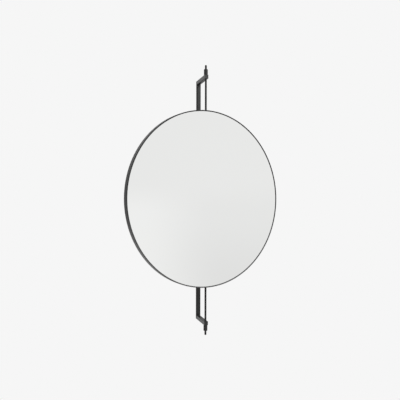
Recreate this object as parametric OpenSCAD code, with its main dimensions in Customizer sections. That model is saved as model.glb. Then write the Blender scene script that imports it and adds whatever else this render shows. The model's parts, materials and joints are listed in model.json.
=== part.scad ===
// Pivot wall mirror: a round mirror in a thin steel rim, carried on an upright rod that
// turns in the two arms of a C-shaped wall bracket.
// Origin: on the wall, at the middle of the bracket's back face. +Z is up, -Y points into
// the room and +X is to the right of someone who faces the mirror. Millimetres.

/* [Mirror] */
// Outer diameter of the rim
mirror_d = 712; // [650:2:730]
// Depth of the rim from its back edge to its front lip
rim_depth = 22.5; // [22.5:0.5:30]
// Width of the rim's front lip, as seen from the front
lip_w = 4.5; // [3:0.5:6]
// Thickness of the rim's lip
lip_t = 1.5; // [1:0.1:2]
// Thickness of the rim's side wall
rim_wall = 2; // [1.5:0.1:2.5]
// Thickness of the glass
glass_t = 4; // [3:1:5]
// Thickness of the foam sheet between the glass and the board
foam_t = 1; // [0.5:0.5:1]
// Thickness of the back board
board_t = 12; // [12:0.5:14]
// Height of the mirror's centre above the middle of the bracket
mirror_lift = 4.5; // [-8:0.5:8]
// Angle by which the mirror is turned as it is seen: 0 is parallel to the wall
rest_turn = 13.4; // [-17:0.1:17]

/* [Bracket] */
// Height of the bracket over its two arms
bracket_h = 1017; // [960:1:1037]
// Side of the square tube
tube_s = 16; // [14:0.5:18]
// Wall thickness of the square tube
tube_wall = 2; // [1.5:0.1:2]
// Outer corner radius of the square tube
tube_r = 1.5; // [0.8:0.1:2]
// Distance of the pivot axis from the wall
axis_d = 104; // [104:1:130]
// Length of the arm beyond the pivot axis, with its end plug
arm_over = 8; // [8:0.5:12]

/* [Pivot] */
// Overall length of the pivot rod
rod_l = 1098; // [1090:2:1120]
// Diameter of the pivot rod
rod_d = 8; // [8:0.1:8.4]
// Outer diameter of the set collars
collar_d = 16; // [15:0.5:18]
// Length of the set collars
collar_l = 22; // [14:0.5:22]
// Radial clearance between the rod and its bushes
run_gap = 0.05; // [0.02:0.01:0.08]
// End play between a collar and the bush flange below it
end_gap = 0.1; // [0.05:0.05:0.3]

/* [Wall fixing] */
// Number of wall screws along the bar
wall_screws = 4; // [2:1:4]
// Distance between two wall screws
wall_screw_step = 200; // [120:10:200]
// Diameter of the holes against the wall
wall_hole_d = 5.5; // [4.5:0.5:6]
// Diameter of the holes that let the screw heads and the driver in
driver_hole_d = 10; // [9:0.5:10]

/* [Hidden] */
$fn = 96;
ring_fn = 240;
// Clearance between two fixed pieces that fit into each other
seat = 0.02;
over = 1;

rod_r = rod_d / 2;
rim_r = mirror_d / 2;
rim_in_r = rim_r - rim_wall;
glass_r = rim_in_r - 0.4;
board_r = rim_in_r - 0.8;
arm_z = (bracket_h - tube_s) / 2;

// Heights on the disc: 0 is the rim's back edge, and the rim's depth is its front
lip_h = rim_depth - lip_t;
glass_h = lip_h - glass_t;
foam_h = glass_h - foam_t;
board_h = foam_h - board_t;

// Segment plates that tie the disc to the rod
plate_w = 150;
plate_low = rim_in_r - 85;
plate_screw = [56, plate_low + 20, plate_low + 60];
saddle_y = plate_low + 41;
saddle_l = 34;
saddle_t = 2.5;
saddle_foot = 22;
saddle_screw = [14.5, 9];
saddle_screw_r = 2;

// Clips that hold the board in the rim
clip_n = 8;
clip_t = 1.5;
clip_reach = 18;
clip_arc = 3.4;
clip_screw_r = 1.75;
wood_screw_r = 2;

bush_r = rod_r + 1;
flange_r = collar_d / 2 - 1.5;
flange_t = 1.5;
bush_l = tube_s;
flat_depth = 0.4;
grub_r = 2;

// ---- Shared shapes ----

// A rectangle with rounded corners, from its lower left corner
module soft_rect(w, h, r) {
    translate([r, 0]) square([w - 2 * r, h]);
    translate([0, r]) square([w, h - 2 * r]);
    for (x = [r, w - r], y = [r, h - r])
        translate([x, y]) circle(r);
}

// The part of a circle that lies right of and above its centre
module quarter_disc(r) {
    intersection() {
        circle(r);
        square(r);
    }
}

// The section of the square tube, about its centre
module tube_outline(inset, r) {
    side = tube_s - 2 * inset;
    translate([-side / 2, -side / 2]) soft_rect(side, side, r);
}

module tube_section() {
    difference() {
        tube_outline(0, tube_r);
        tube_outline(tube_wall, 0.4);
    }
}

// A block with its lower face on the mitre plane of the bracket's upper corner
module mitre_block(below) {
    reach = 3 * tube_s;
    translate([0, 0, bracket_h / 2])
        rotate([45, 0, 0])
            translate([-tube_s, -reach, below ? -reach : 0])
                cube([2 * tube_s, 2 * reach, reach]);
}

// The mirror's own frame: Z on the pivot axis, and turned with the mirror
module turned() {
    translate([0, -axis_d, 0])
        rotate([0, 0, rest_turn])
            children();
}

// The disc's frame: centre of the disc, h above the rim's back edge, Z to the front
module on_disc(h) {
    turned()
        translate([0, -rod_r - seat, mirror_lift])
            rotate([90, 0, 0])
                translate([0, 0, h])
                    children();
}

// A domed screw head with a cross slot, its seat at z = 0 and its top below
module pan_head(r, h) {
    dome = (r * r + h * h) / (2 * h);
    difference() {
        intersection() {
            translate([0, 0, -h]) cylinder(r = r, h = h);
            translate([0, 0, dome * 1.35 - h]) sphere(dome * 1.35);
        }
        translate([0, 0, -h]) cross_slot(r * 0.6, h * 0.6);
    }
}

module cross_slot(r, depth) {
    width = r * 0.45;
    for (a = [0, 90])
        rotate([0, 0, a])
            translate([-r, -width / 2, -over])
                cube([2 * r, width, depth + over]);
}

module pan_screw(r, head_r, head_h, length) {
    pan_head(head_r, head_h);
    translate([0, 0, -0.2]) cylinder(r = r - seat, h = length - r + 0.2);
    translate([0, 0, length - r]) cylinder(r1 = r - seat, r2 = r * 0.4, h = r);
}

// A countersunk screw whose head is flush at z = 0
module flat_screw(r, length) {
    difference() {
        cylinder(r1 = 2 * r - seat, r2 = r - seat, h = r);
        cross_slot(r * 1.1, r * 0.7);
    }
    translate([0, 0, r]) cylinder(r = r - seat, h = length - 2.5 * r);
    translate([0, 0, length - 1.5 * r]) cylinder(r1 = r - seat, r2 = r * 0.3, h = 1.5 * r);
}

// ---- Bracket ----

module wall_holes() {
    for (i = [0 : wall_screws - 1]) {
        z = (i - (wall_screws - 1) / 2) * wall_screw_step;
        translate([0, over, z])
            rotate([90, 0, 0]) cylinder(d = wall_hole_d, h = tube_s / 2 + over);
        translate([0, -tube_s / 2, z])
            rotate([90, 0, 0]) cylinder(d = driver_hole_d, h = tube_s);
    }
}

module wall_bar() {
    color("dimgray")
        difference() {
            translate([0, -tube_s / 2, -bracket_h / 2])
                linear_extrude(bracket_h) tube_section();
            mitre_block(false);
            mirror([0, 0, 1]) mitre_block(false);
            wall_holes();
        }
}

module arm() {
    length = axis_d + arm_over - tube_wall;
    difference() {
        translate([0, 0, arm_z])
            rotate([90, 0, 0])
                linear_extrude(length) tube_section();
        mitre_block(true);
        translate([0, -axis_d, arm_z - tube_s]) cylinder(r = bush_r + seat, h = 2 * tube_s);
    }
}

module upper_arm() { color("dimgray") arm(); }
module lower_arm() { color("dimgray") mirror([0, 0, 1]) arm(); }

// The plug closes the tube's end with a face of the tube's own section, and its spigot
// inside the tube stops short of the bush
module arm_plug() {
    inner = tube_wall + 0.1;
    spigot = arm_over - tube_wall - bush_r - 0.2;
    translate([0, -axis_d - arm_over + tube_wall, arm_z])
        rotate([90, 0, 0]) {
            linear_extrude(tube_wall) tube_outline(0, tube_r);
            translate([0, 0, -spigot]) linear_extrude(spigot + 0.5) tube_outline(inner, 0.4);
        }
}

module upper_arm_plug() { color("gray") arm_plug(); }
module lower_arm_plug() { color("gray") mirror([0, 0, 1]) arm_plug(); }

// A flanged bush: the flange lies on the arm, under the collar
module bush() {
    mouth = 0.4;
    translate([0, -axis_d, bracket_h / 2])
        rotate_extrude()
            polygon([
                [rod_r + run_gap, -bush_l + mouth],
                [rod_r + run_gap + mouth, -bush_l],
                [bush_r, -bush_l],
                [bush_r, 0],
                [flange_r, 0],
                [flange_r, flange_t],
                [rod_r + run_gap + mouth, flange_t],
                [rod_r + run_gap, flange_t - mouth]
            ]);
}

module upper_bush() { color("black") bush(); }
module lower_bush() { color("black") mirror([0, 0, 1]) bush(); }

// ---- Mirror ----

// An L section, turned into a ring: side wall and front lip, with softened edges
module rim() {
    color("dimgray")
        on_disc(0)
            rotate_extrude($fn = ring_fn) {
                translate([rim_in_r, 0]) soft_rect(rim_wall, rim_depth, 0.7);
                translate([rim_r - lip_w, lip_h]) soft_rect(lip_w, lip_t, 0.5);
            }
}

module mirror_glass() {
    bevel = 0.6;
    color("lightgray")
        on_disc(glass_h)
            rotate_extrude($fn = ring_fn)
                polygon([
                    [0, 0], [glass_r - bevel, 0], [glass_r, bevel],
                    [glass_r, glass_t - bevel], [glass_r - bevel, glass_t], [0, glass_t]
                ]);
}

module foam_sheet() {
    color("white") on_disc(foam_h) cylinder(r = board_r - 6, h = foam_t, $fn = ring_fn);
}

module at_clips() {
    for (i = [0 : clip_n - 1])
        rotate([0, 0, (i + 0.5) * 360 / clip_n]) children();
}

module at_plate_screws(side) {
    for (x = [-1, 1], y = [1, 2])
        translate([x * plate_screw[0], side * plate_screw[y], 0]) children();
}

module at_saddle_screws(side) {
    for (x = [-1, 1], y = [-1, 1])
        translate([x * saddle_screw[0], side * saddle_y + y * saddle_screw[1], 0]) children();
}

module back_board() {
    edge = 1;
    depth = 11;
    color("saddlebrown")
        on_disc(board_h)
            difference() {
                rotate_extrude($fn = ring_fn)
                    polygon([
                        [0, 0], [board_r - edge, 0], [board_r, edge], [board_r, board_t], [0, board_t]
                    ]);
                at_clips()
                    translate([board_r - clip_reach / 2, 0, -over])
                        cylinder(r = clip_screw_r, h = depth + over);
                for (side = [-1, 1])
                    at_plate_screws(side)
                        translate([0, 0, -over]) cylinder(r = wood_screw_r, h = depth + over);
            }
}

// Each clip is an angle: one leg lies on the board, the other is fixed to the rim
module rim_clips() {
    color("silver")
        on_disc(board_h)
            at_clips()
                difference() {
                    rotate([0, 0, -clip_arc / 2])
                        rotate_extrude(angle = clip_arc, $fn = ring_fn) {
                            translate([rim_in_r - clip_reach, -clip_t])
                                square([clip_reach - seat, clip_t]);
                            translate([rim_in_r - clip_t, 0.5 - board_h])
                                square([clip_t - seat, board_h - 0.5]);
                        }
                    translate([board_r - clip_reach / 2, 0, -clip_t - over])
                        cylinder(r = clip_screw_r, h = clip_t + 2 * over);
                }
}

module clip_screws() {
    color("silver")
        on_disc(board_h - clip_t)
            at_clips()
                translate([board_r - clip_reach / 2, 0, 0])
                    pan_screw(clip_screw_r, 3.4, 2, 12);
}

// A plate cut to the rim's curve, let into the rim behind the board
module segment_plate(side) {
    on_disc(0)
        difference() {
            linear_extrude(board_h)
                intersection() {
                    circle(rim_in_r - 1, $fn = ring_fn);
                    mirror([0, side < 0 ? 1 : 0])
                        translate([-plate_w / 2, plate_low]) soft_rect(plate_w, 2 * plate_w, 10);
                }
            at_plate_screws(side) {
                translate([0, 0, -over]) cylinder(r = wood_screw_r, h = board_h + 2 * over);
                cylinder(r1 = 2 * wood_screw_r, r2 = wood_screw_r, h = wood_screw_r);
            }
            at_saddle_screws(side)
                translate([0, 0, -over]) cylinder(r = saddle_screw_r, h = board_h + 2 * over);
        }
}

module upper_plate() { color("silver") segment_plate(1); }
module lower_plate() { color("silver") segment_plate(-1); }

module plate_screws() {
    color("gray")
        on_disc(0)
            for (side = [-1, 1])
                at_plate_screws(side) flat_screw(wood_screw_r, 14);
}

// ---- Pivot ----

// The rod has rounded ends, and a flat under each grub screw
module pivot_rod() {
    tip = 2;
    flat_l = 8;
    color("dimgray")
        turned()
            difference() {
                union() {
                    translate([0, 0, -rod_l / 2 + tip]) cylinder(r = rod_r, h = rod_l - 2 * tip);
                    for (m = [0, 1])
                        mirror([0, 0, m])
                            translate([0, 0, rod_l / 2 - tip]) rod_tip(tip);
                }
                for (m = [0, 1])
                    mirror([0, 0, m])
                        translate([-rod_r, rod_r - flat_depth, collar_mid() - flat_l / 2])
                            cube([2 * rod_r, rod_r, flat_l]);
            }
}

module rod_tip(tip) {
    rotate_extrude() {
        square([rod_r - tip, tip]);
        translate([rod_r - tip, 0]) quarter_disc(tip);
    }
}

function collar_low() = bracket_h / 2 + flange_t + end_gap;
function collar_mid() = collar_low() + collar_l / 2;

// The set collar's outer end is rounded, and its foot is only broken
module collar() {
    crown = 2.5;
    foot = 0.5;
    wall = collar_d / 2 - rod_r - seat;
    turned()
        difference() {
            translate([0, 0, collar_low()])
                rotate_extrude() {
                    translate([rod_r + seat, 0])
                        polygon([
                            [0, 0], [wall - foot, 0], [wall, foot],
                            [wall, collar_l - crown], [wall - crown, collar_l], [0, collar_l]
                        ]);
                    translate([collar_d / 2 - crown, collar_l - crown]) quarter_disc(crown);
                }
            translate([0, 0, collar_mid()])
                rotate([-90, 0, 0]) cylinder(r = grub_r, h = collar_d);
        }
}

module upper_collar() { color("dimgray") collar(); }
module lower_collar() { color("dimgray") mirror([0, 0, 1]) collar(); }

// A socket screw without a head, its tip on the rod's flat
module grub_screw() {
    tip_y = rod_r - flat_depth;
    length = collar_d / 2 - tip_y - 0.4;
    turned()
        translate([0, tip_y, collar_mid()])
            rotate([-90, 0, 0])
                difference() {
                    union() {
                        cylinder(r1 = grub_r * 0.6, r2 = grub_r - seat, h = 0.8);
                        translate([0, 0, 0.8]) cylinder(r = grub_r - seat, h = length - 0.8);
                    }
                    translate([0, 0, length - 2]) cylinder(r = 1.15, h = 3, $fn = 6);
                }
}

module upper_grub_screw() { color("gray") grub_screw(); }
module lower_grub_screw() { color("gray") mirror([0, 0, 1]) grub_screw(); }

// A half circle about the rod, with its sides drawn down to y = -leg
module arch(r, leg) {
    translate([-r, -leg]) square([2 * r, leg]);
    intersection() {
        circle(r);
        translate([-r, 0]) square([2 * r, r]);
    }
}

// A strap bent over the rod, with a foot on each side on the segment plate
module saddle(side) {
    back = rod_r + seat;
    outer = rod_r + saddle_t;
    turned()
        translate([0, 0, mirror_lift + side * saddle_y])
            difference() {
                translate([0, 0, -saddle_l / 2])
                    linear_extrude(saddle_l)
                        difference() {
                            union() {
                                arch(outer, back);
                                translate([-saddle_foot, -back]) square([2 * saddle_foot, saddle_t]);
                            }
                            arch(back, back + over);
                        }
                for (x = [-1, 1], z = [-1, 1])
                    translate([x * saddle_screw[0], 0, z * saddle_screw[1]])
                        rotate([90, 0, 0]) cylinder(r = saddle_screw_r, h = 2 * rod_r);
            }
}

module upper_saddle() { color("silver") saddle(1); }
module lower_saddle() { color("silver") saddle(-1); }

module saddle_screws() {
    color("gray")
        on_disc(-saddle_t)
            for (side = [-1, 1])
                at_saddle_screws(side)
                    pan_screw(saddle_screw_r, 3.8, 2.6, saddle_t + 3.8);
}

// ---- Assembly ----

wall_bar();
upper_arm();
lower_arm();
upper_arm_plug();
lower_arm_plug();
upper_bush();
lower_bush();
rim();
mirror_glass();
foam_sheet();
back_board();
rim_clips();
clip_screws();
upper_plate();
lower_plate();
plate_screws();
pivot_rod();
upper_saddle();
lower_saddle();
saddle_screws();
upper_collar();
lower_collar();
upper_grub_screw();
lower_grub_screw();
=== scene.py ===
# %% [markdown]
# # Pivot wall mirror: looks, light and camera
#
# The rigid parts of this mirror come ready made from its construction model: a round mirror in a
# thin metal rim, an upright rod, and a C-shaped wall bracket whose two arms hold the rod. This
# lesson loads them, gives each one its finish, adds the weld beads and the dabs of adhesive that a
# workshop leaves, and photographs the whole in a pale studio. Each step is explained before its
# code.
#
# Lengths are in metres. The wall is the plane y = 0, the room is on the -Y side, and Z points up.

# %% Load the frame
import math

import bpy
from mathutils import Matrix, Vector
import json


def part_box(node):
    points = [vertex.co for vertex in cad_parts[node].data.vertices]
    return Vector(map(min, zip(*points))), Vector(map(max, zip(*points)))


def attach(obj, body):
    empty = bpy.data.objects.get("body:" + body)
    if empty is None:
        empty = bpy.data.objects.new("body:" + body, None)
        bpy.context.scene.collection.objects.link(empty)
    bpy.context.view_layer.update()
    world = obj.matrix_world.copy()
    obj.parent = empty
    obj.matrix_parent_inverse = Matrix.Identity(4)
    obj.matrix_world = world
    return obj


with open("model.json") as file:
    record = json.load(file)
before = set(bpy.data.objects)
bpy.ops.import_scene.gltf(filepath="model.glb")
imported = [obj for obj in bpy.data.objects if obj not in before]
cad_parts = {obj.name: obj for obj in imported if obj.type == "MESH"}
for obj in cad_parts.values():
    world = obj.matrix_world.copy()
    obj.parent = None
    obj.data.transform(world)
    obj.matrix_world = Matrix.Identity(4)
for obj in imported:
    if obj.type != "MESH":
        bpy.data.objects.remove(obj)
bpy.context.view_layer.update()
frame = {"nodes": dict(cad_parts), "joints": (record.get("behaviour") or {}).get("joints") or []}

MM = 0.001

# %% [markdown]
# ## Where things are
#
# What this script adds sits on the frame, so its places and sizes are measured from the frame and
# not typed in again. The pivot is the frame's own joint. A box is the lowest and the highest corner
# of a part. The bar's box gives the side of its square tube. Half the height of the rim's box is
# the rim's radius, since a turn about the upright axis leaves the height as it is.

# %% Measure the frame
pivot = Vector(frame["joints"][0]["pos_m"])
bar_low, bar_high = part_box("wall_bar")
rod_low, rod_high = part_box("pivot_rod")
rim_low, rim_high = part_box("rim")
rim_radius = (rim_high.z - rim_low.z) / 2
tube_side = bar_high.y - bar_low.y
rod_radius = (rod_high.y - rod_low.y) / 2
print("pivot", tuple(round(v, 4) for v in pivot), "rim radius", round(rim_radius, 4))
print("tube", round(tube_side, 4), "rod radius", round(rod_radius, 4))

# %% [markdown]
# ## Shader arithmetic in plain Python
#
# A material is a graph of nodes. Wiring it by hand takes a line for every node and link, and hides
# the formula. A small class that wraps one output socket lets the formula be written as a formula:
# each operator adds the Math node that does it. The reflected operators, such as __rsub__, are for
# a formula that starts with a number, like 1 - mask. Everything that is not arithmetic comes from
# `node`.

# %% Formulas on sockets
class Wire:
    """One output socket of a node graph."""

    def __init__(self, tree, socket):
        self.tree = tree
        self.socket = socket

    def node(self, kind, output=0, settings=None, **inputs):
        return add_node(self.tree, kind, output, settings, **inputs)

    def _math(self, operation, first, second):
        settings = {"operation": operation}
        return self.node("ShaderNodeMath", settings=settings, **{"0": first, "1": second})

    def __add__(self, other):
        return self._math("ADD", self, other)

    __radd__ = __add__

    def __sub__(self, other):
        return self._math("SUBTRACT", self, other)

    def __rsub__(self, other):
        return self._math("SUBTRACT", other, self)

    def __mul__(self, other):
        return self._math("MULTIPLY", self, other)

    __rmul__ = __mul__


print("a", Wire.__name__, "can be added, subtracted and multiplied")


# %% Nodes and their links
def plug(tree, socket, value):
    """Links a wire to an input socket, or writes a plain value on it."""
    if isinstance(value, Wire):
        tree.links.new(value.socket, socket)
    else:
        socket.default_value = value


def add_node(tree, kind, output=0, settings=None, **inputs):
    """Adds a node, sets its properties first, then its sockets by number or by name."""
    made = tree.nodes.new(kind)
    for name, value in (settings or {}).items():
        setattr(made, name, value)
    for key, value in inputs.items():
        place = int(key) if key.isdigit() else key.replace("_", " ")
        plug(tree, made.inputs[place], value)
    return Wire(tree, made.outputs[output])


print("nodes are made by", add_node.__name__)

# %% [markdown]
# ## A blank finish
#
# Every finish here is one Principled BSDF. What is the same all over a surface is written on the
# shader's own sockets, and what varies is wired to Base Color, Roughness or Normal. Patterns could
# be painted pictures, but a picture needs a flat map of each part and blurs when the camera comes
# near. A noise needs neither. It reads Object coordinates, which are metres in the frame, so a
# noise scale of 1000 has grains of about 1 mm.

# %% Start a finish
def grey(value):
    return (value, value, value, 1)


def new_finish(name, **constants):
    """A material with one shader. Returns it, its node tree, its shader and Object coordinates."""
    material = bpy.data.materials.new(name)
    material.use_nodes = True
    tree = material.node_tree
    tree.nodes.clear()
    shader = tree.nodes.new("ShaderNodeBsdfPrincipled")
    output = tree.nodes.new("ShaderNodeOutputMaterial")
    tree.links.new(shader.outputs[0], output.inputs["Surface"])
    for key, value in constants.items():
        shader.inputs[key.replace("_", " ")].default_value = value
    place = add_node(tree, "ShaderNodeTexCoord", output="Object")
    return material, tree, shader, place


print("finishes start with", new_finish.__name__)


# %% Patterns
def noise(place, scale, detail=3.0, roughness=0.5):
    """Soft grains from 0 to 1. Where place is in metres, the scale is in grains a metre."""
    return place.node(
        "ShaderNodeTexNoise", Vector=place, Scale=scale, Detail=detail, Roughness=roughness
    )


def blend_colours(factor, first, second):
    """A Mix node set to colours. Its colour inputs are numbers 6 and 7, its colour output is 2."""
    inputs = {"0": factor, "6": first, "7": second}
    return factor.node("ShaderNodeMix", output=2, settings={"data_type": "RGBA"}, **inputs)


def bump(height, depth):
    """A relief that is this deep where the height goes from 0 to 1."""
    return height.node("ShaderNodeBump", Height=height, Distance=depth)


print("patterns:", noise.__name__, blend_colours.__name__, bump.__name__)

# %% [markdown]
# ## Satin black powder coat
#
# The bracket and the rim are steel with a baked powder coat. The coat flows as it melts, which
# leaves a soft orange-peel with bumps of one or two millimetres, and its gloss is a little uneven.
# One even black would look like plastic, so a broad noise shifts the colour and the roughness by a
# few per cent, and a fine one makes the bumps. Black is mostly reflection: the coat itself is
# almost as dark as soot, and what shows is the pale room in it. The rim is the darker one of the
# two, so its coat has a lower index of refraction, which mirrors less.
#
# Powder is sprayed from the front, so a tube's flanks catch less of it and bake to a drier, duller
# skin. The photograph shows it on the upright bar: seen at a low angle its left flank stays dark,
# where a glossy one would mirror the wall. `dry_from` adds that. Beyond this distance from the
# plane x = 0, which only the flanks reach, the roughness rises. The mask is worked out from x
# squared, which is the same on both flanks.

# %% Masks
def axis(place, name):
    """One coordinate of a place or direction: "X", "Y" or "Z"."""
    return place.node("ShaderNodeSeparateXYZ", output=name, Vector=place)


def ease(wire, low, high):
    """0 at low and 1 at high, with a smooth step between them; low may be the larger one."""
    settings = {"interpolation_type": "SMOOTHSTEP"}
    inputs = {"0": wire, "1": low, "2": high, "3": 0.0, "4": 1.0}
    return wire.node("ShaderNodeMapRange", settings=settings, **inputs)


print("masks:", axis.__name__, ease.__name__)

# %% Powder coat
PATCHES_PER_METRE = 14.0
PEEL_PER_METRE = 620.0
SPECKS_PER_METRE = 2600.0
PEEL_DEPTH = 0.04 * MM
TONE_SPREAD = 0.12
DRY_SKIN = 0.6


def powder_coat(name, tone, gloss, dry_from=None, ior=1.4):
    """Satin black. With dry_from, the surface beyond that distance from the plane x = 0 is dull."""
    material, tree, shader, place = new_finish(name, Metallic=0.0, IOR=ior)
    broad = noise(place, PATCHES_PER_METRE, detail=4.0)
    peel = noise(place, PEEL_PER_METRE, detail=2.0)
    specks = noise(place, SPECKS_PER_METRE, detail=1.0)
    darker, lighter = grey(tone * (1 - TONE_SPREAD)), grey(tone * (1 + TONE_SPREAD))
    plug(tree, shader.inputs["Base Color"], blend_colours(broad, darker, lighter))
    # Noises lie around 0.5, so the roughness stays close to the gloss that was asked for.
    roughness = gloss - 0.04 + broad * 0.05 + specks * 0.05
    if dry_from:
        across = axis(place, "X")
        flank = ease(across * across, (dry_from * 0.9) ** 2, dry_from ** 2)
        roughness = roughness + flank * DRY_SKIN
    plug(tree, shader.inputs["Roughness"], roughness)
    plug(tree, shader.inputs["Normal"], bump(peel + specks * 0.3, PEEL_DEPTH))
    return material


just_inside_the_flanks = tube_side / 2 * 0.99
bracket_look = {"tone": 0.018, "gloss": 0.30}
bracket_coat = powder_coat("satin_black_coat", **bracket_look)
bar_coat = powder_coat("satin_black_bar_coat", dry_from=just_inside_the_flanks, **bracket_look)
rim_coat = powder_coat("rim_black_coat", tone=0.014, gloss=0.28, ior=1.30)
print("coats:", bracket_coat.name, bar_coat.name, rim_coat.name)

# %% [markdown]
# ## Blackened rod and collars
#
# The rod turns in its bushes with a twentieth of a millimetre to spare, and the collars slide over
# it, so neither can carry a thick coat. They are drawn and turned steel with a thin black skin,
# duller than the powder coat, and a low index of refraction keeps the round edges dark. Drawing
# leaves hair lines along the rod. The shader's own anisotropy would stretch the highlight but show
# no lines, so the noise is stretched instead: squeezed to 3000 grains a metre across the rod, and
# pulled out to only 6 a metre along it. A collar is turned on a lathe, so its lines run round it
# and are squeezed along Z. The lines shift the colour and the roughness together, and a little
# bump goes with them.

# %% Blackened steel
ROD_GRAIN = (3000.0, 3000.0, 6.0)
COLLAR_GRAIN = (40.0, 40.0, 2600.0)
STAINS_PER_METRE = 9.0
HAIR_LINE_DEPTH = 0.04 * MM
HAIR_LINE_CONTRAST = 0.4
THIN_SKIN_IOR = 1.3


def stretched(place, scale):
    """Object coordinates with each axis scaled, to draw a pattern out along one of them."""
    return place.node("ShaderNodeMapping", Vector=place, Scale=scale)


def between(low, high, wire):
    """A value that goes from low to high as the wire goes from 0 to 1."""
    return low + wire * (high - low)


def blackened_steel(name, grain, tone):
    material, tree, shader, place = new_finish(name, Metallic=0.0, IOR=THIN_SKIN_IOR)
    lines = noise(stretched(place, grain), 1.0, detail=2.0)
    stains = noise(place, STAINS_PER_METRE)
    darker, lighter = grey(tone * (1 - HAIR_LINE_CONTRAST)), grey(tone * (1 + HAIR_LINE_CONTRAST))
    colour = blend_colours(stains * 0.4 + lines * 0.6, darker, lighter)
    plug(tree, shader.inputs["Base Color"], colour)
    plug(tree, shader.inputs["Roughness"], between(0.52, 0.74, lines))
    plug(tree, shader.inputs["Normal"], bump(lines, HAIR_LINE_DEPTH))
    return material


rod_finish = blackened_steel("blackened_drawn_rod", ROD_GRAIN, tone=0.023)
collar_finish = blackened_steel("blackened_turned_collar", COLLAR_GRAIN, tone=0.034)
print("rod and collars:", rod_finish.name, collar_finish.name)

# %% [markdown]
# ## The mirror
#
# A mirror is clear glass with silver behind it. It could be built that way, as a clear sheet over
# a metal one, but seen from the front the two read as one surface, so one metallic shader does the
# work with fewer bounces of light. Its colour is just under white, because the glass takes a few
# per cent of the light. A wiped mirror is never quite even: a very faint, broad haze in the
# roughness keeps it from looking like a hole.

# %% Silvered glass
HAZE_GRAIN = (3.0, 3.0, 1.6)
SILVER = (0.90, 0.905, 0.895, 1)
BRIGHT_SILVER = (0.915, 0.92, 0.91, 1)


def silvered_glass():
    material, tree, shader, place = new_finish("silvered_glass", Metallic=1.0, IOR=1.52)
    haze = noise(stretched(place, HAZE_GRAIN), 1.0, detail=5.0)
    plug(tree, shader.inputs["Base Color"], blend_colours(haze, SILVER, BRIGHT_SILVER))
    plug(tree, shader.inputs["Roughness"], between(0.01, 0.03, haze))
    return material


mirror_finish = silvered_glass()
print("mirror:", mirror_finish.name)

# %% [markdown]
# ## The back board
#
# The back is seen when the mirror is turned, so it gets its real finishes too. The board is fibre
# board, rolled with dark paint. On a smooth sheet the roller's stipple would be all there is to
# see. On this one the matted fibres show through the paint too, so the finish takes two noises.
# The fibres are a little drawn out along the sheet and change the colour and the dullness, and
# both make the relief.

# %% Painted board
FIBRE_GRAIN = (540.0, 540.0, 180.0)
STIPPLE_PER_METRE = 260.0
PAINT_DEPTH = 0.1 * MM
DARK_PAINT = (0.030, 0.029, 0.028, 1)
WORN_PAINT = (0.055, 0.052, 0.049, 1)


def painted_board():
    material, tree, shader, place = new_finish("painted_fibre_board", Metallic=0.0, IOR=1.45)
    roller = noise(place, STIPPLE_PER_METRE, detail=4.0)
    fibre = noise(stretched(place, FIBRE_GRAIN), 1.0, detail=5.0, roughness=0.65)
    plug(tree, shader.inputs["Base Color"], blend_colours(fibre, DARK_PAINT, WORN_PAINT))
    plug(tree, shader.inputs["Roughness"], between(0.62, 0.78, fibre))
    plug(tree, shader.inputs["Normal"], bump(roller + fibre * 0.5, PAINT_DEPTH))
    return material


board_finish = painted_board()
print("board:", board_finish.name)

# %% [markdown]
# ## The foam sheet
#
# A thin foam sheet lies between the board and the glass. It is closed-cell foam, a mass of tiny
# bubbles with walls between them. A noise has no walls, so the pattern here is one of cells: its
# value is 0 in the middle of a cell and grows towards the border with the next.

# %% Foam
BUBBLES_PER_METRE = 900.0
BUBBLE_DEPTH = 0.2 * MM
BUBBLE_MIDDLE = (0.60, 0.60, 0.58, 1)
BUBBLE_WALL = (0.78, 0.78, 0.76, 1)


def closed_cell_foam():
    material, tree, shader, place = new_finish("closed_cell_foam", Metallic=0.0, IOR=1.4)
    cells = place.node("ShaderNodeTexVoronoi", Vector=place, Scale=BUBBLES_PER_METRE)
    plug(tree, shader.inputs["Base Color"], blend_colours(cells, BUBBLE_MIDDLE, BUBBLE_WALL))
    plug(tree, shader.inputs["Roughness"], between(0.80, 0.95, cells))
    plug(tree, shader.inputs["Normal"], bump(cells, BUBBLE_DEPTH))
    return material


foam_finish = closed_cell_foam()
print("foam:", foam_finish.name)

# %% [markdown]
# ## Zinc on the clips and screws
#
# The clips and screws are zinc plated. Plating is bright but not polished: it dulls in clouds of
# about a centimetre, and under them lies a grain of half a millimetre. The clouds go into the
# colour and the roughness, and the grain into the relief alone, because on so bright a metal a
# grain in the colour would look like dirt.

# %% Zinc plate
CLOUDS_PER_METRE = 120.0
ZINC_GRAINS_PER_METRE = 1800.0
ZINC_GRAIN_DEPTH = 0.02 * MM
DULL_ZINC = (0.50, 0.50, 0.52, 1)
BRIGHT_ZINC = (0.66, 0.66, 0.66, 1)


def zinc_plate():
    material, tree, shader, place = new_finish("zinc_plate", Metallic=1.0, IOR=1.5)
    grain = noise(place, ZINC_GRAINS_PER_METRE, detail=3.0)
    clouds = noise(place, CLOUDS_PER_METRE, detail=4.0)
    plug(tree, shader.inputs["Base Color"], blend_colours(clouds, DULL_ZINC, BRIGHT_ZINC))
    plug(tree, shader.inputs["Roughness"], between(0.26, 0.42, clouds))
    plug(tree, shader.inputs["Normal"], bump(grain, ZINC_GRAIN_DEPTH))
    return material


zinc_finish = zinc_plate()
print("clips and screws:", zinc_finish.name)

# %% [markdown]
# ## Nylon bushes
#
# The bushes are moulded in black nylon. The mould was spark eroded, and its fine pitted skin is
# copied on the plastic. One noise of about half a millimetre does for colour, roughness and relief
# together, since on the real thing they are the same pits.

# %% Black nylon
NYLON_PITS_PER_METRE = 2200.0
NYLON_PIT_DEPTH = 0.03 * MM


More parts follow.
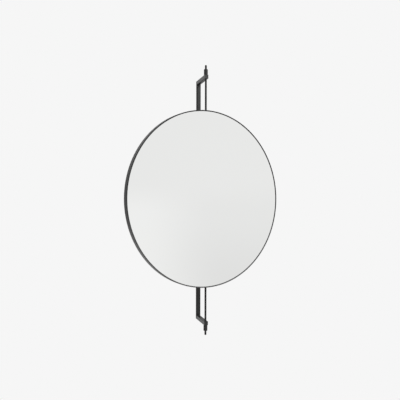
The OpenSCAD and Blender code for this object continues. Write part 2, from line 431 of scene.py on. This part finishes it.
def black_nylon():
    material, tree, shader, place = new_finish("black_nylon", Metallic=0.0, IOR=1.53)
    pits = noise(place, NYLON_PITS_PER_METRE, detail=2.0)
    plug(tree, shader.inputs["Base Color"], blend_colours(pits, grey(0.020), grey(0.030)))
    plug(tree, shader.inputs["Roughness"], between(0.48, 0.60, pits))
    plug(tree, shader.inputs["Normal"], bump(pits, NYLON_PIT_DEPTH))
    return material


nylon_finish = black_nylon()
print("bushes:", nylon_finish.name)

# %% [markdown]
# ## Dress the frame
#
# The CAD parts already have their true shapes, so they stay, and each one takes a finish in its
# material slots. A dictionary from finish to parts is easier to check than a finish for every part,
# and what is left over at the end shows a part that was forgotten.

# %% Hand out the finishes
PARTS_BY_FINISH = {
    bar_coat: ["wall_bar"],
    bracket_coat: [
        "upper_arm", "lower_arm", "upper_arm_plug", "lower_arm_plug",
        "upper_plate", "lower_plate", "upper_saddle", "lower_saddle",
    ],
    collar_finish: ["upper_collar", "lower_collar"],
    rim_coat: ["rim"],
    rod_finish: ["pivot_rod"],
    mirror_finish: ["mirror_glass"],
    board_finish: ["back_board"],
    foam_finish: ["foam_sheet"],
    zinc_finish: [
        "rim_clips", "clip_screws", "plate_screws", "saddle_screws",
        "upper_grub_screw", "lower_grub_screw",
    ],
    nylon_finish: ["upper_bush", "lower_bush"],
}

undressed = set(frame["nodes"])
for finish, parts in PARTS_BY_FINISH.items():
    for part in parts:
        materials = frame["nodes"][part].data.materials
        materials.clear()
        materials.append(finish)
        undressed.discard(part)
print("parts without a finish:", sorted(undressed))

# %% [markdown]
# ## A bead
#
# A weld bead is a row of overlapping puddles. A row of squashed balls would look the same, but
# their skins would cut through each other, and a bead should be one closed skin. So it is drawn as
# a disc of 16 sides that is extruded along the seam, and after each step the new end is made wider
# or narrower: the list of widths is the bead's outline. The dabs of adhesive further on are made
# with the same function and other widths.

# %% Bead along X
BEAD_SIDES = 16


def bead_along_x(name, radius, length, widths):
    """A bead with its middle at the origin. The widths, as shares of the radius, run along X."""
    bpy.ops.object.select_all(action="DESELECT")
    bpy.ops.mesh.primitive_circle_add(
        vertices=BEAD_SIDES, radius=radius, fill_type="NGON", rotation=(0, math.radians(90), 0)
    )
    bead = bpy.context.object
    bead.name = name
    bpy.ops.object.transform_apply(location=False, rotation=True, scale=False)
    bpy.ops.object.mode_set(mode="EDIT")
    bpy.ops.mesh.select_all(action="SELECT")
    bpy.ops.transform.resize(value=(1, widths[0], widths[0]), center_override=(0, 0, 0))
    bpy.ops.transform.translate(value=(-length / 2, 0, 0))
    step = length / (len(widths) - 1)
    for before, after in zip(widths, widths[1:]):
        bpy.ops.mesh.extrude_region_move(TRANSFORM_OT_translate={"value": (step, 0, 0)})
        growth = after / before
        bpy.ops.transform.resize(value=(1, growth, growth), center_override=(0, 0, 0))
    bpy.ops.mesh.select_all(action="SELECT")
    bpy.ops.mesh.normals_make_consistent(inside=False)
    bpy.ops.object.mode_set(mode="OBJECT")
    bpy.ops.object.shade_smooth()
    return bead


print("beads have", BEAD_SIDES, "sides")


# %% Copies in their places
def select_only(piece):
    bpy.ops.object.select_all(action="DESELECT")
    piece.select_set(True)
    bpy.context.view_layer.objects.active = piece


def placed_copy(piece, name, matrix):
    """A copy with a mesh of its own, moved by a matrix that is then applied."""
    select_only(piece)
    bpy.ops.object.duplicate(linked=False)
    copy = bpy.context.object
    copy.name = name
    copy.matrix_world = matrix
    bpy.ops.object.transform_apply(location=True, rotation=True, scale=True)
    return copy


print("copies are made by", placed_copy.__name__)

# %% [markdown]
# ## The bracket's corner welds
#
# The bracket's square tubes meet in mitres. On the outside a workshop grinds the weld flush, but in
# the inner corner it leaves the bead. A bead lies along X, where the bar's front face meets the
# arm's inner face, and stops short of the tube's own corners. The two corners are mirror images, so
# the bead is modelled once and copied before it is moved into its own place.

# %% Corner welds
PUDDLES = 7
WELD_RADIUS = 1.5 * MM
WELD_END = 0.35
WELD_DIP = 0.86
weld_widths = [WELD_END] + [1.0, WELD_DIP] * (PUDDLES - 1) + [1.0, WELD_END]
weld_length = tube_side - 2 * WELD_RADIUS
corner_y = bar_low.y
corner_z = bar_high.z - tube_side

corner_bead = bead_along_x("corner_weld_upper", WELD_RADIUS, weld_length, weld_widths)
corner_bead.data.materials.append(bracket_coat)
lower_corner = Matrix.Translation((0, corner_y, -corner_z))
lower_bead = placed_copy(corner_bead, "corner_weld_lower", lower_corner)
select_only(corner_bead)
corner_bead.location = (0, corner_y, corner_z)
bpy.ops.object.transform_apply(location=True, rotation=False, scale=False)
for bead in (corner_bead, lower_bead):
    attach(bead, "bracket")
print("corner welds at z", round(corner_z, 4), "and", round(-corner_z, 4))
print(len(corner_bead.data.polygons), "faces each")

# %% [markdown]
# ## Black adhesive
#
# The clips that hold the glass stack are bonded into the rim, because a weld would burn the rim's
# coat. The adhesive is black, and it cures with a soft gloss and a slightly wrinkled skin. A smooth
# gloss would look wet, so one fine noise wrinkles it.

# %% Adhesive
WRINKLES_PER_METRE = 1400.0
WRINKLE_DEPTH = 0.06 * MM


def black_adhesive():
    material, tree, shader, place = new_finish("black_adhesive", Metallic=0.0, IOR=1.5)
    skin = noise(place, WRINKLES_PER_METRE, detail=2.0)
    plug(tree, shader.inputs["Base Color"], blend_colours(skin, grey(0.012), grey(0.020)))
    plug(tree, shader.inputs["Roughness"], between(0.30, 0.45, skin))
    plug(tree, shader.inputs["Normal"], bump(skin, WRINKLE_DEPTH))
    return material


adhesive_finish = black_adhesive()
print("adhesive:", adhesive_finish.name)

# %% [markdown]
# ## Places on the turned disc
#
# The mirror is drawn as the photograph shows it, turned 13.4 degrees out of parallel with the wall.
# A place on its back could be worked out with sines and cosines each time. It is easier to give it
# in the disc's own coordinates: right, up, and forward from the rim's back edge. One matrix turns
# such a point into a place in the room, and `on_disc` applies it.

# %% The disc's matrix
REST_TURN = math.radians(13.4)
disc_back = Vector((0, -rod_radius, (rim_low.z + rim_high.z) / 2))
disc_matrix = (
    Matrix.Translation((pivot.x, pivot.y, 0))
    @ Matrix.Rotation(REST_TURN, 4, "Z")
    @ Matrix.Translation(disc_back)
    @ Matrix.Rotation(math.radians(90), 4, "X")
)


def on_disc(right, up, forward):
    """A place in the room, from one in the disc's own coordinates."""
    return disc_matrix @ Vector((right, up, forward))


print("middle of the rim's back edge:", tuple(round(v, 4) for v in on_disc(0, 0, 0)))

# %% [markdown]
# ## Dabs beside the clips
#
# A clip stands in the rim at every eighth of a turn. Where it was pressed home, a little adhesive
# was squeezed out at each end of its 21 mm of arc. A small ball would stand for a drop, but what is
# squeezed from a joint is a streak along it, so the dab is a bead too. It runs forward along the
# rim's wall, which takes a turn from X to the disc's forward axis, and its widths swell once and
# tail off, without the weld's ripples.

# %% Clip dabs
CLIPS = 8
CLIP_HALF_ARC = math.radians(1.7)
RIM_WALL = 2 * MM
DAB_RADIUS = 1.2 * MM
DAB_LENGTH = 4.0 * MM
DAB_FORWARD = 2.2 * MM
DAB_WIDTHS = [0.30, 0.72, 0.95, 1.0, 0.90, 0.65, 0.25]
wall_radius = rim_radius - RIM_WALL


def clip_dabs():
    dab = bead_along_x("clip_dab", DAB_RADIUS, DAB_LENGTH, DAB_WIDTHS)
    dab.data.materials.append(adhesive_finish)
    x_to_forward = disc_matrix.to_3x3().to_4x4() @ Matrix.Rotation(math.radians(-90), 4, "Y")
    made = []
    for clip in range(CLIPS):
        middle = math.radians((clip + 0.5) * 360 / CLIPS)
        for end, side in (("a", -1), ("b", 1)):
            angle = middle + side * CLIP_HALF_ARC
            right = math.cos(angle) * wall_radius
            up = math.sin(angle) * wall_radius
            matrix = Matrix.Translation(on_disc(right, up, DAB_FORWARD)) @ x_to_forward
            made.append(placed_copy(dab, f"clip_dab_{clip + 1}_{end}", matrix))
    bpy.data.objects.remove(dab)
    for piece in made:
        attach(piece, "mirror")
    return made


dabs = clip_dabs()
print(len(dabs), "dabs of adhesive")

# %% [markdown]
# ## The room in the glass
#
# A mirror shows the room in front of it. The room could be modelled, but a plain one has nothing in
# it except tones, so here it is the world's colour, which fills whatever a ray meets when it misses
# the object. The photograph's glass is nearly even above its middle, brighter at its lower left and
# darker at its lower right: a wall above, a floor below with light from the left. The colour that
# glossy rays see is a formula in the direction in which they leave. Height is the direction's z,
# and z = 0 is the horizon. Rays that climb or fall steeply find the room darker.
#
# Glossy rays that leave towards the wall, with a positive y, seldom come from the glass, and the
# black parts show them. The arms' left faces mirror a bright stretch of wall, their inner faces a
# darker one on the right, and the rim's left edge a dim corner far to the left.

# %% Tones of the room
# 0 is black and 1 is white.
ROOM_WALL = 0.8865
FLOOR_LEFT = 0.9394
FLOOR_RIGHT = 0.8608
NEAR_LEFT_LOSS = 0.006
NEAR_RIGHT_LOSS = 0.044
CEILING_SHADE = 0.35
FLOOR_SHADE = 0.15
BACK_LEFT = 0.97
BACK_RIGHT = 0.55
BACK_CORNER = 0.50

# Where each change begins and where it is complete, in the direction's x, y or z.
HORIZON_Z = (0.045, -0.035)
NEAR_FLOOR_Z = (-0.03, -0.18)
STEEP_UP_Z = (0.24, 0.66)
STEEP_DOWN_Z = (-0.24, -0.66)
LIT_FLOOR_X = (0.74, 0.60)
BACK_Y = (0.2, 0.6)
BACK_RIGHT_X = (-0.2, 0.25)
BACK_CORNER_X = (-0.42, -0.60)
print("tones of the room from", BACK_CORNER, "to", BACK_LEFT)


# %% The room as a formula
def room_tone(tree):
    """The grey that a glossy ray sees, from the direction in which it leaves."""
    heading = add_node(tree, "ShaderNodeTexCoord", output="Generated")
    x, y, z = axis(heading, "X"), axis(heading, "Y"), axis(heading, "Z")
    lit = ease(x, *LIT_FLOOR_X)
    near_loss = between(NEAR_RIGHT_LOSS, NEAR_LEFT_LOSS, lit)
    floor_tone = between(FLOOR_RIGHT, FLOOR_LEFT, lit) - ease(z, *NEAR_FLOOR_Z) * near_loss
    front_tone = between(ROOM_WALL, floor_tone, ease(z, *HORIZON_Z))
    back_tone = between(BACK_LEFT, BACK_RIGHT, ease(x, *BACK_RIGHT_X))
    back_tone = between(back_tone, BACK_CORNER, ease(x, *BACK_CORNER_X))
    tone = between(front_tone, back_tone, ease(y, *BACK_Y))
    shade = ease(z, *STEEP_UP_Z) * CEILING_SHADE + ease(z, *STEEP_DOWN_Z) * FLOOR_SHADE
    return tone * (1 - shade)


print("the room is drawn by", room_tone.__name__)

# %% [markdown]
# ## The studio
#
# The photograph's background is one pale grey. A real backdrop would need lamps of its own, and
# their light would fall on the object as well. The world's colour needs none: the Light Path node
# tells the kinds of ray apart, so the camera and a clear material see the backdrop's grey, glossy
# rays see the room, and the rays that light the object see an even, dimmer white.

# %% World
BACKDROP = 0.9216
AMBIENT = 0.45


def ray(tree, kind):
    """1 for rays of a kind, such as "Camera" or "Glossy", and 0 for all others."""
    return add_node(tree, "ShaderNodeLightPath", output=f"Is {kind} Ray")


def background(tree, colour, strength=1.0):
    return add_node(tree, "ShaderNodeBackground", Color=colour, Strength=strength)


def mix_shaders(tree, share, first, second):
    return add_node(tree, "ShaderNodeMixShader", **{"0": share, "1": first, "2": second})


def build_world():
    world = bpy.data.worlds.new("studio")
    bpy.context.scene.world = world
    world.use_nodes = True
    tree = world.node_tree
    tree.nodes.clear()
    light = background(tree, grey(1.0), AMBIENT)
    backdrop = background(tree, grey(BACKDROP))
    room = background(tree, room_tone(tree))
    unseen = mix_shaders(tree, ray(tree, "Glossy"), light, room)
    seen = ray(tree, "Camera") + ray(tree, "Transmission")
    surface = mix_shaders(tree, seen, unseen, backdrop)
    output = tree.nodes.new("ShaderNodeOutputWorld")
    tree.links.new(surface.socket, output.inputs["Surface"])
    return world


print("world of", len(build_world().node_tree.nodes), "nodes")

# %% [markdown]
# ## The lamps
#
# Two softboxes light the object. A sun or a point lamp would throw hard highlights, so both are
# wide area lamps. The key stands high on the right. The front one stands where its gloss falls on
# the upper half of the bar and not on the lower half, as in the photograph.
#
# The rim's front lip is a line of one pixel, and in the photograph it is darker along the mirror's
# upper half and lighter along its lower half. A low white card on the right does that: the lip's
# lower half mirrors it towards the camera, and the upper half doesn't. The card is an area lamp
# too.
#
# A photographer keeps a lamp off a thing with flags. Light linking does it here: a collection tells
# a lamp what it lights. The softboxes light all but the glass, so that a view from below shows a
# pale room in it and no white squares, and the card lights the rim alone.

# %% Softboxes and what they light
def light_group(name, part, state):
    """Tells a lamp to light this part alone, with INCLUDE, or all but this part, with EXCLUDE."""
    group = bpy.data.collections.new(name)
    group.objects.link(frame["nodes"][part])
    group.collection_objects[0].light_linking.link_state = state
    return group


def softbox(name, place, target, size, power, group):
    """An area lamp that faces the target. Its size is width and height, its power in watts."""
    lamp = bpy.data.lights.new(name, "AREA")
    lamp.shape = "RECTANGLE"
    lamp.size, lamp.size_y = size
    lamp.energy = power
    lamp_object = bpy.data.objects.new(name, lamp)
    bpy.context.scene.collection.objects.link(lamp_object)
    lamp_object.location = place
    toward = Vector(target) - Vector(place)
    lamp_object.rotation_euler = toward.to_track_quat("-Z", "Y").to_euler()
    lamp_object.visible_camera = False
    lamp_object.light_linking.receiver_collection = group


print("lamps are made by", softbox.__name__)

# %% Lamps
MIRROR_MIDDLE = (0, -0.1, 0)
LOWER_HALF = (0, -0.1, -0.2)
all_but_the_glass = light_group("all_but_the_glass", "mirror_glass", "EXCLUDE")
rim_alone = light_group("rim_alone", "rim", "INCLUDE")
softbox("key_right", (2.5, -1.5, 2.8), MIRROR_MIDDLE, (1.6, 1.6), 60, all_but_the_glass)
softbox("front_high", (0.8, -2.6, 2.0), MIRROR_MIDDLE, (1.8, 1.8), 30, all_but_the_glass)
softbox("low_card", (2.15, -2.1, -0.65), LOWER_HALF, (2.0, 0.9), 36, rim_alone)

# %% [markdown]
# ## The floor
#
# The floor lies 1.5 m below the mirror's middle, where a room's floor would be. It is a wide disc.
# Straight below the mirror it is a pale painted surface that takes the mirror's soft shadow.
# Further out it fades into the backdrop's own grey, by an emission that only the camera or a clear
# material sees. A curved studio backdrop would hide the floor's edge too, but it would also close
# off the world behind the mirror, which the black parts show.
#
# The room that glossy rays see has a floor of its own, so this disc is hidden from them: otherwise
# its edge would cross the glass as a line.

# %% Floor finish
FADE_FROM = 0.45
FADE_TO = 1.3
GLOW_BELOW_THE_MIRROR = 0.35
BRUSH_MARKS_PER_METRE = 3.0


def distance_from_z_axis(place):
    """The length of a place whose height is taken out."""
    flat = place.node(
        "ShaderNodeVectorMath", settings={"operation": "MULTIPLY"},
        **{"0": place, "1": (1.0, 1.0, 0.0)},
    )
    length = {"operation": "LENGTH"}
    return flat.node("ShaderNodeVectorMath", output=1, settings=length, **{"0": flat})


def pale_floor():
    material, tree, shader, place = new_finish("pale_floor", Metallic=0.0, Roughness=0.9)
    marks = noise(place, BRUSH_MARKS_PER_METRE)
    plug(tree, shader.inputs["Base Color"], blend_colours(marks, grey(0.88), grey(0.90)))
    faded = ease(distance_from_z_axis(place), FADE_FROM, FADE_TO)
    seen = ray(tree, "Camera") + ray(tree, "Transmission")
    share = seen * between(GLOW_BELOW_THE_MIRROR, 1, faded)
    painted = Wire(tree, shader.outputs[0])
    glow = add_node(tree, "ShaderNodeEmission", Color=grey(BACKDROP), Strength=1.0)
    surface = mix_shaders(tree, share, painted, glow)
    tree.links.new(surface.socket, tree.nodes["Material Output"].inputs["Surface"])
    return material


floor_finish = pale_floor()
print("floor:", floor_finish.name)

# %% Floor
FLOOR_DEPTH = 1.5
FLOOR_RADIUS = 3.0
FLOOR_SIDES = 96


def lay_floor():
    bpy.ops.object.select_all(action="DESELECT")
    bpy.ops.mesh.primitive_circle_add(
        vertices=FLOOR_SIDES, radius=FLOOR_RADIUS, fill_type="NGON", location=(0, 0, -FLOOR_DEPTH)
    )
    floor = bpy.context.object
    floor.name = "floor"
    bpy.ops.object.transform_apply(location=True, rotation=False, scale=False)
    floor.data.materials.append(floor_finish)
    floor.visible_glossy = False


lay_floor()
print("floor laid", FLOOR_DEPTH, "m below the mirror's middle")

# %% [markdown]
# ## The camera
#
# The photograph was taken level, 1.8 m from the pivot and 18.4 degrees to its left. A longer lens
# from further away would show the same mirror, but the arms would then slope less: how steeply they
# run to the corners is what fixes the distance. The photograph leans by a tenth of a degree to the
# right, so the camera is rolled by that much.

# %% Camera
VIEW_AZIMUTH = math.radians(18.4)
VIEW_DISTANCE = 1.80
METRES_PER_PIXEL = 4.073 * MM
PIVOT_PIXELS_RIGHT_OF_CENTRE = 5.65
ROLL = math.radians(0.1)
SENSOR_MM = 36.0
FRAME_PIXELS = 400


def place_camera():
    forward = Vector((math.sin(VIEW_AZIMUTH), math.cos(VIEW_AZIMUTH), 0))
    right = Vector((math.cos(VIEW_AZIMUTH), -math.sin(VIEW_AZIMUTH), 0))
    data = bpy.data.cameras.new("camera")
    data.sensor_width = SENSOR_MM
    data.lens = VIEW_DISTANCE / METRES_PER_PIXEL * SENSOR_MM / FRAME_PIXELS
    camera = bpy.data.objects.new("camera", data)
    bpy.context.scene.collection.objects.link(camera)
    pivot_offset = PIVOT_PIXELS_RIGHT_OF_CENTRE * METRES_PER_PIXEL
    aim = Vector((pivot.x, pivot.y, 0)) - right * pivot_offset
    camera.location = aim - forward * VIEW_DISTANCE
    camera.rotation_euler = (math.radians(90), -ROLL, -VIEW_AZIMUTH)
    bpy.context.scene.camera = camera
    return camera


camera = place_camera()
print("camera at", tuple(round(v, 3) for v in camera.location), "lens", round(camera.data.lens, 2))

# %% [markdown]
# ## Finish
#
# The colour view stays plain, so that a colour renders as it is written.

# %% Colour view
bpy.context.scene.view_settings.view_transform = "Standard"
